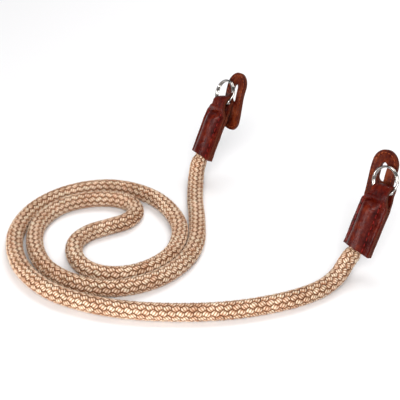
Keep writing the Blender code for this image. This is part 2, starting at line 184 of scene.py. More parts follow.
# The rope's route between the two mouths: x, y and lift above lying flat
ROUTE = (
    (-0.1330, -0.0252, 0.0068), (-0.1286, -0.0298, 0.0027), (-0.1205, -0.0366, 0.0005),
    (-0.1085, -0.0458, 0.0), (-0.0970, -0.0536, 0.0), (-0.0862, -0.0615, 0.0),
    (-0.0758, -0.0699, 0.0), (-0.0670, -0.0805, 0.0), (-0.0613, -0.0929, 0.0),
    (-0.0588, -0.1056, 0.0), (-0.0596, -0.1172, 0.0), (-0.0632, -0.1282, 0.0),
    (-0.0698, -0.1376, 0.0), (-0.0796, -0.1449, 0.0), (-0.0913, -0.1493, 0.0),
    (-0.1043, -0.1508, 0.0), (-0.1183, -0.1480, 0.0), (-0.1313, -0.1420, 0.0),
    (-0.1424, -0.1336, 0.0), (-0.1501, -0.1224, 0.0), (-0.1532, -0.1096, 0.0),
    (-0.1515, -0.0979, 0.0), (-0.1460, -0.0872, 0.0), (-0.1384, -0.0798, 0.0),
    (-0.1296, -0.0770, 0.0), (-0.1210, -0.0800, 0.0), (-0.1164, -0.0894, 0.0),
    (-0.1176, -0.1016, 0.0), (-0.1190, -0.1130, 0.0), (-0.1159, -0.1237, 0.0),
    (-0.1075, -0.1309, 0.0), (-0.0960, -0.1344, 0.0), (-0.0847, -0.1326, 0.0),
    (-0.0758, -0.1260, 0.0), (-0.0706, -0.1158, 0.0), (-0.0695, -0.1036, 0.0),
    (-0.0726, -0.0908, 0.0), (-0.0808, -0.0789, 0.0), (-0.0933, -0.0689, 0.0),
    (-0.1091, -0.0632, 0.0), (-0.1260, -0.0619, 0.0), (-0.1409, -0.0660, 0.0),
    (-0.1527, -0.0740, 0.0), (-0.1601, -0.0850, 0.0), (-0.1639, -0.0997, 0.0),
    (-0.1630, -0.1156, 0.0), (-0.1568, -0.1314, 0.0), (-0.1457, -0.1450, 0.0),
    (-0.1311, -0.1549, 0.0), (-0.1146, -0.1608, 0.0), (-0.0980, -0.1622, 0.0),
    (-0.0814, -0.1597, 0.0), (-0.0655, -0.1525, 0.0), (-0.0504, -0.1421, 0.0),
    (-0.0373, -0.1294, 0.0), (-0.0258, -0.1157, 0.0), (-0.0157, -0.1008, 0.0),
    (-0.0081, -0.0859, 0.0), (-0.0026, -0.0710, 0.0), (0.0006, -0.0573, 0.0),
    (0.0014, -0.0443, 0.0003), (-0.0004, -0.0326, 0.0019), (-0.0030, -0.0240, 0.0058),
)

# What follows from these sizes, as in the part
RING_RADIUS = (RING_OUTER_DIA - RING_WIRE_DIA) / 2
RING_TURN_PITCH = RING_WIRE_DIA + RING_TURN_GAP
RING_HALF_AXIAL = RING_WIRE_DIA / 2 + RING_TURN_PITCH / 2
RING_INSIDE = RING_RADIUS - RING_WIRE_DIA / 2
RING_BOTTOM = RING_OUTER_DIA - RING_WIRE_DIA / 2 + FIT_GAP
FOLD_INSIDE = math.hypot(RING_HALF_AXIAL, RING_WIRE_DIA / 2) + FIT_GAP
FOLD_RADIUS = FOLD_INSIDE + LEATHER / 2
TONGUE_RIGHT_EDGE = RING_INSIDE - TONGUE_RIGHT_PLAY
TONGUE_LEFT_EDGE = TONGUE_LEFT_PLAY - RING_INSIDE
TONGUE_HALF = (TONGUE_RIGHT_EDGE - TONGUE_LEFT_EDGE) / 2
TONGUE_SIDE = (TONGUE_RIGHT_EDGE + TONGUE_LEFT_EDGE) / 2
SHOULDER_AT = MOUTH_AT - SLEEVE_LENGTH
TONGUE_AT = SHOULDER_AT - SHOULDER_LENGTH
FLANGE_HALF = (LAYER_GAP + LEATHER) / 2
ROPE_WRAP_RADIUS = ROPE_SQUEEZED / 2 + FIT_GAP + LEATHER / 2
ROPE_END_AT = MOUTH_AT - ROPE_IN_SLEEVE
WRAP_CREST = ROPE_WRAP_RADIUS * math.sin(WRAP_ANGLE)
WRAP_FOOT = WRAP_CREST + (ROPE_WRAP_RADIUS * math.cos(WRAP_ANGLE) - FLANGE_HALF) / math.tan(WRAP_ANGLE)

# Folds in a leather end: height, how far down, slant, half width, middle across and reach across
SLEEVE_FOLDS = (
    (0.00048, RING_BOTTOM + 0.0010, 0.10, 0.0012, -0.0010, 0.0070),
    (-0.00060, 0.0198, -0.20, 0.0013, -0.0015, 0.0075),
    (-0.00048, 0.0236, 0.26, 0.0011, 0.0035, 0.0055),
)
# Its waves: per metre across, per metre down, and height
SLEEVE_WAVES = ((190.0, 130.0, 0.00030), (513.0, 351.0, 0.00012))
LAYER_APART = 3.0              # sets the front layer's waves apart from the back's


def ease(share):
    """Smooth step from 0 to 1."""
    share = min(max(share, 0.0), 1.0)
    return share * share * (3.0 - 2.0 * share)


def bump(distance, reach):
    """1 at no distance, falling smoothly to 0 at the reach."""
    return ease(1.0 - abs(distance) / reach)


def end_matrix(side):
    lean_x, lean_y, lean_z = (math.radians(angle) for angle in END_LEAN[side])
    place = Matrix.Translation((0.0 if side == "right" else -HANG_SPACING, 0.0, 0.0))
    for angle, axis in ((lean_z, "Z"), (lean_y, "Y"), (lean_x, "X")):
        place = place @ Matrix.Rotation(angle, 4, axis)
    return place


def add_piece(name, data):
    """An object of its own for a mesh, a curve, a light or a camera."""
    piece = bpy.data.objects.new(name, data)
    bpy.context.scene.collection.objects.link(piece)
    return piece


def settle(piece):
    """Keeps what a piece's modifiers make of it as its plain mesh."""
    graph = bpy.context.evaluated_depsgraph_get()
    made = bpy.data.meshes.new_from_object(
        piece.evaluated_get(graph), preserve_all_data_layers=True, depsgraph=graph)
    piece.modifiers.clear()
    piece.data = made
    made.name = piece.name
    return piece


# Camera


def add_camera():
    lens = bpy.data.cameras.new("camera")
    lens.lens = CAMERA_LENS
    lens.sensor_width = PICTURE_WIDTH
    lens.clip_start = 0.01
    camera = add_piece("camera", lens)
    bpy.context.scene.camera = camera
    level = math.cos(CAMERA_DOWN)
    sight = Vector((CAMERA_WAY[0] * level, CAMERA_WAY[1] * level, -math.sin(CAMERA_DOWN)))
    camera.location = CAMERA_AT
    camera.rotation_euler = sight.to_track_quat("-Z", "Y").to_euler()


# Node trees


class Number:
    """A number that a node tree works out, so that its sums read as plain ones."""

    def __init__(self, tree, socket):
        self.tree = tree
        self.socket = socket

    def __add__(self, other):
        return worked(self.tree, "ADD", self, other)

    def __radd__(self, other):
        return worked(self.tree, "ADD", other, self)

    def __sub__(self, other):
        return worked(self.tree, "SUBTRACT", self, other)

    def __rsub__(self, other):
        return worked(self.tree, "SUBTRACT", other, self)

    def __mul__(self, other):
        return worked(self.tree, "MULTIPLY", self, other)

    def __rmul__(self, other):
        return worked(self.tree, "MULTIPLY", other, self)

    def __truediv__(self, other):
        return worked(self.tree, "DIVIDE", self, other)


def feed(slot, value):
    """Gives an input a plain value, or the output that works it out."""
    if isinstance(value, Number):
        value = value.socket
    if isinstance(value, bpy.types.NodeSocket):
        slot.id_data.links.new(value, slot)
    else:
        slot.default_value = value


def worked(tree, operation, *values):
    node = tree.nodes.new("ShaderNodeMath")
    node.operation = operation
    for slot, value in zip(node.inputs, values):
        feed(slot, value)
    return Number(tree, node.outputs[0])


def vector(tree, operation, *values, scale=None):
    node = tree.nodes.new("ShaderNodeVectorMath")
    node.operation = operation
    for slot, value in zip(node.inputs, values):
        feed(slot, value)
    if scale is not None:
        feed(node.inputs["Scale"], scale)
    return node.outputs["Vector"]


def joined(tree, x, y, z):
    node = tree.nodes.new("ShaderNodeCombineXYZ")
    for slot, value in zip(node.inputs, (x, y, z)):
        feed(slot, value)
    return node.outputs["Vector"]


def parted(tree, source):
    node = tree.nodes.new("ShaderNodeSeparateXYZ")
    feed(node.inputs[0], source)
    return [Number(tree, output) for output in node.outputs]


def add_node(tree, kind, inputs, **settings):
    node = tree.nodes.new(kind)
    for name, value in settings.items():
        setattr(node, name, value)
    for name, value in inputs.items():
        feed(node.inputs[name], value)
    return node


def shaped(tree, kind, output, inputs, **settings):
    """One output of a geometry node, whose kind is given without its first two words."""
    return add_node(tree, f"GeometryNode{kind}", inputs, **settings).outputs[output]


def new_geometry_tree(name, sockets):
    """A tree with a geometry input and output, and its named inputs as numbers or sockets."""
    tree = bpy.data.node_groups.new(name, "GeometryNodeTree")
    tree.interface.new_socket("Geometry", in_out="INPUT", socket_type="NodeSocketGeometry")
    tree.interface.new_socket("Geometry", in_out="OUTPUT", socket_type="NodeSocketGeometry")
    for label, kind in sockets.items():
        tree.interface.new_socket(label, in_out="INPUT", socket_type=f"NodeSocket{kind}")
    start = tree.nodes.new("NodeGroupInput")
    given = {"Geometry": start.outputs["Geometry"]}
    for label, kind in sockets.items():
        output = start.outputs[label]
        given[label] = Number(tree, output) if kind in ("Float", "Int") else output
    return tree, given


def finished(tree, geometry, material=None):
    """Ends a tree with real faces, shaded smooth, in the material if one is given."""
    geometry = shaped(tree, "RealizeInstances", "Geometry", {"Geometry": geometry})
    geometry = shaped(tree, "SetShadeSmooth", "Geometry", {"Geometry": geometry})
    if material is not None:
        geometry = shaped(tree, "SetMaterial", "Geometry", {"Geometry": geometry, "Material": material})
    feed(tree.nodes.new("NodeGroupOutput").inputs["Geometry"], geometry)
    return tree


def grow(piece, tree, values):
    """Runs a tree on a piece's mesh with the given inputs, and keeps the result as its plain mesh."""
    nodes = piece.modifiers.new(tree.name, "NODES")
    nodes.node_group = tree
    for item in tree.interface.items_tree:
        if item.in_out == "INPUT" and item.name in values:
            nodes[item.identifier] = values[item.name]
    return settle(piece)


# Rope


def smooth_curve(points, per_span=12):
    """Centripetal Catmull-Rom curve through the points."""
    guide = [2 * points[0] - points[1], *points, 2 * points[-1] - points[-2]]
    curve = []
    for p0, p1, p2, p3 in zip(guide, guide[1:], guide[2:], guide[3:]):
        t1 = math.sqrt((p1 - p0).length)
        t2 = t1 + math.sqrt((p2 - p1).length)
        t3 = t2 + math.sqrt((p3 - p2).length)
        for k in range(per_span):
            t = t1 + (t2 - t1) * k / per_span
            a1 = p0.lerp(p1, t / t1)
            a2 = p1.lerp(p2, (t - t1) / (t2 - t1))
            a3 = p2.lerp(p3, (t - t2) / (t3 - t2))
            b1 = a1.lerp(a2, t / t2)
            b2 = a2.lerp(a3, (t - t1) / (t3 - t1))
            curve.append(b1.lerp(b2, (t - t1) / (t2 - t1)))
    curve.append(points[-1].copy())
    return curve


def rope_route():
    """Out of the left sleeve, through the coil, into the right sleeve."""
    lying = ROPE_DIA / 2 - HANG_HEIGHT
    laid = [Vector((x, y, lying + lift)) for x, y, lift in ROUTE]
    depths = (ROPE_END_AT, (ROPE_END_AT + MOUTH_AT) / 2, MOUTH_AT, MOUTH_AT + ROPE_STRAIGHT)
    inside = {}
    for side, pocket in POCKET_SIDE.items():
        inside[side] = [end_matrix(side) @ Vector((pocket, 0.0, -down)) for down in depths]
    return smooth_curve(inside["left"] + laid + inside["right"][::-1])


def route_mesh(name, route):
    """The route as a line of edges that carries the rope's swell: thinner in the leather ends."""
    mesh = bpy.data.meshes.new(name)
    mesh.from_pydata(route, [(k, k + 1) for k in range(len(route) - 1)], [])
    steps = [0.0] + [(there - here).length for here, there in zip(route, route[1:])]
    length = sum(steps)
    swell = mesh.attributes.new("swell", "FLOAT", "POINT")
    along = 0.0
    for item, step in zip(swell.data, steps):
        along += step
        opened = ease((min(along, length - along) - ROPE_IN_SLEEVE) / ROPE_OPENING)
        item.value = (ROPE_SQUEEZED + (ROPE_DIA - ROPE_SQUEEZED) * opened) / ROPE_DIA
    return mesh, length


def section_curve(tree, turn, heights):
    """A value read from the strand's section by the share of a turn round it."""
    node = tree.nodes.new("ShaderNodeFloatCurve")
    mapping = node.mapping
    mapping.use_clip = False
    shape = mapping.curves[0]
    shape.points[0].location = (0.0, heights[0])
    shape.points[1].location = (1.0, heights[0])
    for k, height in enumerate(heights[1:], start=1):
        shape.points.new(k / len(heights), height)
    for point in shape.points:
        point.handle_type = "VECTOR"
    mapping.update()
    feed(node.inputs["Value"], turn)
    return Number(tree, node.outputs["Value"])


def braid_tree():
    """Strands that wind one way round the route, each floating over two of the others and under two."""
    tree, given = new_geometry_tree("braid", {
        "Winding": "Float", "Strands": "Int", "Steps": "Int", "Lead": "Float", "Middle Radius": "Float",
        "Weave": "Float", "Float Lean": "Float", "Float Spread": "Float", "Strand Width": "Float",
        "Strand Thickness": "Float", "Roll": "Float", "Unevenness": "Float", "Seed": "Float",
        "Cotton": "Material",
    })
    winding, strands, lead, middle = (given[n] for n in ("Winding", "Strands", "Lead", "Middle Radius"))
    line = shaped(tree, "MeshToCurve", "Curve", {"Mesh": given["Geometry"]})
    line = shaped(tree, "SetCurveNormal", "Curve", {"Curve": line}, mode="MINIMUM_TWIST")
    length = Number(tree, shaped(tree, "CurveLength", "Length", {"Curve": line}))

    tube = shaped(tree, "MeshCylinder", "Mesh", {
        "Vertices": len(STRAND_SECTION), "Side Segments": given["Steps"], "Radius": 1.0, "Depth": 1.0})
    seats = shaped(tree, "Points", "Points", {"Count": strands})
    copies = shaped(tree, "InstanceOnPoints", "Instances", {"Points": seats, "Instance": tube})
    numbered = tree.nodes.new("GeometryNodeCaptureAttribute")
    numbered.capture_items.new("FLOAT", "Strand")
    numbered.domain = "INSTANCE"
    feed(numbered.inputs["Geometry"], copies)
    feed(numbered.inputs["Strand"], shaped(tree, "InputIndex", "Index", {}))
    bundle = shaped(tree, "RealizeInstances", "Geometry", {"Geometry": numbered.outputs["Geometry"]})
    strand = Number(tree, numbered.outputs["Strand"])

    x, y, z = parted(tree, shaped(tree, "InputPosition", "Position", {}))
    turn = worked(tree, "FRACT", worked(tree, "ARCTAN2", y, x) / math.tau + 1.0)
    across = 1.0 - 2.0 * section_curve(tree, turn, [(1.0 + a) / 2 for a, _ in STRAND_SECTION])
    height = 2.0 * section_curve(tree, turn, [(1.0 + h) / 2 for _, h in STRAND_SECTION]) - 1.0

    straight = (z + 0.5) * length
    wander = add_node(tree, "ShaderNodeTexNoise", {
        "W": straight * UNEVEN_PER_METRE + strand * STRAND_APART + given["Seed"],
        "Scale": 1.0, "Detail": 1.0}, noise_dimensions="1D")
    uneven = (Number(tree, wander.outputs[0]) - 0.5) * given["Unevenness"]
    slant = worked(tree, "ARCTAN2", middle * math.tau, lead)
    around = winding * straight * math.tau / lead + strand * math.tau / strands
    # shown: 1 where the strand's middle floats on top, -1 where it lies below
    shown = winding * worked(tree, "COSINE", around * strands * 0.5 - math.pi / 4)
    side = across * given["Strand Width"] * 0.5 * (1.0 + uneven) * (1.0 + given["Float Spread"] * shown)
    along = straight - winding * side * worked(tree, "SINE", slant)
    around = around + side * worked(tree, "COSINE", slant) / middle
    # crossed: how many strands of the other winding this spot has crossed; over: 1 above them, -1 below
    crossed = (along / lead + winding * around / math.tau) * strands
    over = worked(tree, "COSINE", (crossed + winding * strand - 1.0 + winding * 0.5) * (math.pi / 2))
    over = over * (1.5 - 0.5 * over * over)
    along = along - given["Float Lean"] * worked(tree, "SINE", around * strands * 0.5 - math.pi / 4)

    lift = given["Weave"] * over + given["Strand Thickness"] * 0.5 * height * (1.0 + uneven)
    place = add_node(tree, "GeometryNodeSampleCurve", {
        "Curves": line, "Length": along,
        "Value": shaped(tree, "InputNamedAttribute", "Attribute", {"Name": "swell"})},
        mode="LENGTH", use_all_curves=True)
    radius = (middle + lift) * Number(tree, place.outputs["Value"])
    angle = around + given["Roll"] * math.tau * straight / length
    out = place.outputs["Normal"]
    sideways = vector(tree, "CROSS_PRODUCT", place.outputs["Tangent"], out)
    reach = vector(tree, "ADD", vector(tree, "SCALE", out, scale=radius * worked(tree, "COSINE", angle)),
                   vector(tree, "SCALE", sideways, scale=radius * worked(tree, "SINE", angle)))
    spot = vector(tree, "ADD", place.outputs["Position"], reach)

    # yarn: across the strand (-1 to 1), along it in millimetres, and its height (0 dived under, 1 shown),
    # from which the cotton's painted shade is taken
    apart = (strand + given["Seed"]) * YARN_APART
    yarn = joined(tree, across, straight * 1000.0 + apart, over * 0.5 + 0.5)
    bundle = shaped(tree, "StoreNamedAttribute", "Geometry", {
        "Geometry": bundle, "Name": "yarn", "Value": yarn}, data_type="FLOAT_VECTOR", domain="POINT")
    bundle = shaped(tree, "SetPosition", "Geometry", {"Geometry": bundle, "Position": spot})
    return finished(tree, bundle, given["Cotton"])


def core_tree():
    """The rope's filling along the route, coloured dark brown as painted shade, which shows only as dark
    gaps between strands.
    """
    tree, given = new_geometry_tree("core", {"Radius": "Float", "Sides": "Int", "Filling": "Material"})
    line = shaped(tree, "MeshToCurve", "Curve", {"Mesh": given["Geometry"]})
    ring = shaped(tree, "CurvePrimitiveCircle", "Curve", {
        "Resolution": given["Sides"], "Radius": given["Radius"]})
    swell = shaped(tree, "InputNamedAttribute", "Attribute", {"Name": "swell"})
    tube = shaped(tree, "CurveToMesh", "Mesh", {
        "Curve": line, "Profile Curve": ring, "Scale": swell, "Fill Caps": True})
    return finished(tree, tube, given["Filling"])


def outward_facing(piece):
    """Turns a closed piece's faces out if they point in."""
    solid = bmesh.new()
    solid.from_mesh(piece.data)
    if solid.calc_volume(signed=True) < 0.0:
        bmesh.ops.reverse_faces(solid, faces=solid.faces)
        solid.to_mesh(piece.data)
    solid.free()


def add_braid(route, cotton, filling):
    tree = braid_tree()
    pieces = []
    for name, winding, seed in (("rope_strands_right", 1.0, 50.0), ("rope_strands_left", -1.0, 10.0)):
        mesh, _ = route_mesh(name, route)
        piece = grow(add_piece(name, mesh), tree, {
            "Winding": winding, "Strands": STRANDS, "Steps": STRAND_STEPS, "Lead": BRAID_LEAD,
            "Middle Radius": BRAID_MIDDLE, "Weave": BRAID_WEAVE, "Float Lean": FLOAT_LEAN,
            "Float Spread": FLOAT_SPREAD, "Strand Width": STRAND_WIDTH, "Strand Thickness": STRAND_THICKNESS,
            "Roll": BRAID_ROLL, "Unevenness": BRAID_UNEVENNESS, "Seed": seed, "Cotton": cotton})
        outward_facing(piece)
        pieces.append(piece)
    mesh, length = route_mesh("rope_core", route)
    core = grow(add_piece("rope_core", mesh), core_tree(), {
        "Radius": CORE_RADIUS, "Sides": CORE_SIDES, "Filling": filling})
    outward_facing(core)
    return pieces, core, length


# Leather


def narrowing(down):
    """1 on the sleeve's body, 0 on the tongue."""
    return ease((down - TONGUE_AT) / (SHOULDER_AT - TONGUE_AT))


def rope_hug(across):
    """Half the distance between the two layers' middles where they close round the rope."""
    if across <= WRAP_CREST:
        return math.sqrt(ROPE_WRAP_RADIUS ** 2 - across ** 2)
    slope = ROPE_WRAP_RADIUS * math.cos(WRAP_ANGLE) - (across - WRAP_CREST) * math.tan(WRAP_ANGLE)
    return max(slope, FLANGE_HALF)


def layer_offset(down, across):
    """Half the distance between the two leather layers' middles, at a distance from the rope's middle."""
    rope_share = ease((down - ROPE_END_AT + FIT_GAP + ROPE_RISE) / ROPE_RISE)
    ring_share = 1.0 - ease((down - RING_BOTTOM) / RING_CLOSING)
    hug = rope_hug(across) - FLANGE_HALF
    return FLANGE_HALF + rope_share * hug + ring_share * (FOLD_RADIUS - FLANGE_HALF)


def mouth_rise(down, across):
    """How much the leather's rows rise over the rope as they near the mouth."""
    bulge = (rope_hug(across) - FLANGE_HALF) / (ROPE_WRAP_RADIUS - FLANGE_HALF)
    return MOUTH_RISE * bulge * ease((down - ROPE_END_AT) / ROPE_IN_SLEEVE)


def seat_at(across):
    """How far down the fold's axis lies where its inside rests on the ring's two turns."""
    wire_top = RING_RADIUS + math.sqrt(RING_INSIDE ** 2 - across ** 2)
    return wire_top - FIT_GAP + math.sqrt(FOLD_INSIDE ** 2 - (RING_TURN_PITCH / 2) ** 2)


def fold_at(share):
    """How far down the axis of the tongue's fold lies, from its left edge (-1) to its right edge (1)."""
    left = seat_at(TONGUE_LEFT_EDGE)
    right = seat_at(TONGUE_RIGHT_EDGE)
    return left + (right - left) * (1.0 + share) / 2 - TONGUE_CROWN * (1.0 - share ** 2)


def body_columns(reach):
    """Distances across the body from the rope's middle to an edge at the reach, close where it bends."""
    bend_width = (WRAP_FOOT - WRAP_CREST) / BEND_COLUMNS
    flat_width = (reach - WRAP_FOOT) / FLAT_COLUMNS
    hug = [WRAP_CREST * k / HUG_COLUMNS for k in range(HUG_COLUMNS)]
    bend = [WRAP_CREST + bend_width * k for k in range(BEND_COLUMNS + 1)]
    flat = [WRAP_FOOT + flat_width * k for k in range(1, FLAT_COLUMNS + 1)]
    return hug + bend + flat


def sleeve_relief(down, across, reach, face):
    """How far the sheet stands proud: pulled in along seams and edges, folded below the ring, and wavy."""
    sewn = ease((down - TONGUE_AT - SEAM_UP_SHOULDER * SHOULDER_LENGTH) / SEAM_FADE)
    line = bump(abs(across) - STITCH_OUT[-1 if across < 0.0 else 1], SEAM_HALF)
    held = 0.5 + 0.5 * math.cos(math.tau * (MOUTH_AT - STITCH_FROM_MOUTH - down) / STITCH_SPACING)
    proud = -SEAM_DEPTH * sewn * line * (1.0 - SEAM_EASING + SEAM_EASING * held)
    proud -= RIM_DEPTH * sewn * bump(reach - abs(across) - RIM_FROM_EDGE, RIM_HALF)
    for height, at, slant, half, middle, width in SLEEVE_FOLDS:
        proud += height * bump(down - at - slant * across, half) * bump(across - middle, width)
    for wide, long, height in SLEEVE_WAVES:
        layer = LAYER_APART * face * wide / SLEEVE_WAVES[0][0]
        proud += height * noise.noise(Vector((across * wide, down * long, layer)))
    return proud


def sleeve_sheet(name, side):
    """The folded sheet, up the front from the mouth, over the ring's wire and down the back."""
    pocket = POCKET_SIDE[side]
    body = {hand: body_columns(SLEEVE_WIDTH / 2 - hand * pocket) for hand in (-1, 1)}
    count = len(body[1])
    shares = [k / (count - 1) for k in range(count)]
    places = [(-1, k) for k in range(count - 1, 0, -1)] + [(1, k) for k in range(count)]
    fold = fold_at(0.0)
    levels = [MOUTH_AT + (fold - MOUTH_AT) * k / LAYER_ROWS for k in range(LAYER_ROWS + 1)]

    def sideways(level, k, hand):
        keep = narrowing(level)
        across = keep * body[hand][k] + (1.0 - keep) * shares[k] * TONGUE_HALF
        return across, hand * across + keep * pocket + (1.0 - keep) * TONGUE_SIDE

    def layer_row(level, face):
        row = []
        for hand, k in places:
            across, x = sideways(level, k, hand)
            bend = 1.0 - ease((level - fold) / (SHOULDER_AT - fold))
            down = level + bend * (fold_at(hand * shares[k]) - fold) - mouth_rise(level, across)
            reach = sideways(level, count - 1, hand)[0]
            relief = sleeve_relief(level, hand * across, reach, face) * ease((level - fold) / WAVES_FADE)
            row.append(Vector((x, face * (layer_offset(level, across) + relief), -down)))
        return row

    def fold_row(angle):
        row = []
        for hand, k in places:
            down = fold_at(hand * shares[k]) - FOLD_RADIUS * math.sin(angle)
            row.append(Vector((sideways(fold, k, hand)[1], -FOLD_RADIUS * math.cos(angle), -down)))
        return row

    rows = [layer_row(level, -1) for level in levels]
    rows += [fold_row(math.pi * k / FOLD_ROWS) for k in range(1, FOLD_ROWS)]
    rows += [layer_row(level, 1) for level in reversed(levels)]
    return sheet_mesh(name, rows)


def sheet_mesh(name, rows, closed=False):
    """An open sheet through rows of points. Its UV map is in millimetres, across and along the leather."""
    sheet = bmesh.new()
    lines = [[sheet.verts.new(point) for point in row] for row in rows]
    middle = len(rows[0]) // 2
    along = [0.0]
    for upper, lower in zip(rows, rows[1:]):
        along.append(along[-1] + (lower[middle] - upper[middle]).length)
    hide = sheet.loops.layers.uv.new("hide")
    for j, (upper, lower) in enumerate(zip(lines, lines[1:])):
        for k in range(len(upper) - (0 if closed else 1)):
            after = (k + 1) % len(upper)
            face = sheet.faces.new((upper[k], upper[after], lower[after], lower[k]))
            for loop, at in zip(face.loops, (j, j, j + 1, j + 1)):
                loop[hide].uv = (loop.vert.co.x * 1000.0, along[at] * 1000.0)
    bmesh.ops.recalc_face_normals(sheet, faces=sheet.faces)
    mesh = bpy.data.meshes.new(name)
    sheet.to_mesh(mesh)
    sheet.free()
    return mesh


def add_wall(name, mesh, wall, side, hide, edge):
    """Gives a sheet its thickness, with rounded cut edges in their own finish."""
    piece = add_piece(name, mesh)
    mesh.materials.append(hide)
    mesh.materials.append(edge)
    thick = piece.modifiers.new("wall", "SOLIDIFY")
    thick.thickness = wall
    thick.offset = 0.0
    thick.use_even_offset = True
    thick.use_rim = True
    thick.material_offset_rim = 1
    rounded = piece.modifiers.new("rounded_edges", "BEVEL")
    rounded.width = EDGE_ROUNDING
    rounded.segments = 3
    rounded.limit_method = "ANGLE"
    rounded.angle_limit = math.radians(50)
    settle(piece)
    piece.data.shade_smooth()
    piece.data.transform(end_matrix(side))
    return piece


def quarter_turn(steps):
    return [math.pi / 2 * k / steps for k in range(steps + 1)]


def protector_outline(count):
    """The tab's outline, once round from the top of its head: across and down."""
    head = PROTECTOR_WIDTH / 2
    corner = PROTECTOR_TAIL_CORNER
    turns = quarter_turn(CORNER_STEPS)
    half = [(head * math.sin(a), PROTECTOR_HEAD_DOWN - head * math.cos(a)) for a in turns]
    half += [(head - corner * (1.0 - math.cos(a)), PROTECTOR_TAIL - corner * (1.0 - math.sin(a)))
             for a in turns]
    half.append((0.0, PROTECTOR_TAIL))
    return even_steps(half + [(-x, y) for x, y in reversed(half)], count)


def slot_outline(count):
    """The slot's outline, once round from its top: across and down."""
    half = SLOT_WIDTH / 2
    straight = SLOT_LENGTH / 2 - half
    turns = quarter_turn(SLOT_CORNER_STEPS)
    side = [(half * math.sin(a), SLOT_DOWN - straight - half * math.cos(a)) for a in turns]
    side += [(half * math.cos(a), SLOT_DOWN + straight + half * math.sin(a)) for a in turns]
    return even_steps(side + [(-x, y) for x, y in reversed(side)], count)


def even_steps(points, count):
    """Evenly spaced points on a closed outline, beginning at its first."""
    points = [Vector((x, y)) for x, y in points]
    reach = [0.0]
    for here, there in zip(points, points[1:] + points[:1]):
        reach.append(reach[-1] + (there - here).length)
    points.append(points[0])
    spaced = []
    k = 0
    for step in range(count):
        target = reach[-1] * step / count
        while reach[k + 1] < target:
            k += 1
        share = (target - reach[k]) / (reach[k + 1] - reach[k])
        spaced.append(points[k].lerp(points[k + 1], share))
    return spaced


def behind_sleeve(down):
    """How far behind the centre plane the protector's middle would lie against the sleeve's back."""
    step = LEATHER / 2
    slope = (layer_offset(down + step, 0.0) - layer_offset(down, 0.0)) / step
    return layer_offset(down, 0.0) + (LEATHER + PROTECTOR) / 2 * math.hypot(1.0, slope)


def protector_behind(down):
    behind_ring = RING_HALF_AXIAL + PROTECTOR / 2
    taut = behind_ring + ease(down / ROPE_END_AT) * (behind_sleeve(MOUTH_AT) - behind_ring)
    clear = behind_sleeve(down) if down > fold_at(0.0) else behind_ring
    return max(taut, clear) + PROTECTOR_GAP


def protector_sheet(name, side):
    """The tab as rings of points from its slot to its edge, with a creased line inside the edge."""
    inner = slot_outline(PROTECTOR_STEPS)
    outer = protector_outline(PROTECTOR_STEPS)
    rows = []
    for j in range(PROTECTOR_RINGS + 1):
        row = []
        for a, b in zip(inner, outer):
            spot = a.lerp(b, j / PROTECTOR_RINGS)
            inward = (b - spot).length
            creased = CREASE_DEPTH * bump(inward - PROTECTOR_LINE, CREASE_HALF)
            wavy = TAB_WAVES * noise.noise(Vector((*(spot * TAB_WAVES_PER_METRE), OUTWARD[side])))
            behind = protector_behind(spot.y) + creased + wavy * ease(inward / WAVES_FADE)
            row.append(Vector((spot.x - OUTWARD[side] * PROTECTOR_SIDE, behind, -spot.y)))
        rows.append(row)
    return sheet_mesh(name, rows, closed=True)


# Rings


def ring_wire(name, side, finish):
    """Two turns of round wire side by side, stepping across once."""
    whole = 4 * math.pi - RING_STEP_ANGLE - RING_END_GAP_ANGLE
    curve = bpy.data.curves.new(name, "CURVE")
    curve.dimensions = "3D"
    curve.bevel_depth = RING_WIRE_DIA / 2
    curve.bevel_resolution = 5
    curve.use_fill_caps = True
    spline = curve.splines.new("POLY")
    spline.points.add(RING_STEPS)
    for k, target in enumerate(spline.points):
        turned = whole * k / RING_STEPS
        step = ease((turned - 2 * math.pi + RING_STEP_ANGLE) / RING_STEP_ANGLE)
        angle = RING_SPLIT_AT + turned
        across = RING_RADIUS * math.cos(angle)
        down = RING_RADIUS - RING_RADIUS * math.sin(angle)
        target.co = (across, (step - 0.5) * RING_TURN_PITCH, -down, 1.0)
    spline.use_smooth = True
    drawn = add_piece(f"{name}_wire", curve)
    graph = bpy.context.evaluated_depsgraph_get()
    mesh = bpy.data.meshes.new_from_object(drawn.evaluated_get(graph))
    bpy.data.objects.remove(drawn)
    solid = bmesh.new()
    solid.from_mesh(mesh)
    bmesh.ops.remove_doubles(solid, verts=solid.verts, dist=0.00001)
    bmesh.ops.recalc_face_normals(solid, faces=solid.faces)
    solid.to_mesh(mesh)
    solid.free()
    mesh.materials.clear()
    mesh.materials.append(finish)
    mesh.shade_smooth()
    mesh.set_sharp_from_angle(angle=math.radians(50))
    mesh.transform(end_matrix(side))
    return add_piece(name, mesh)


# Stitches


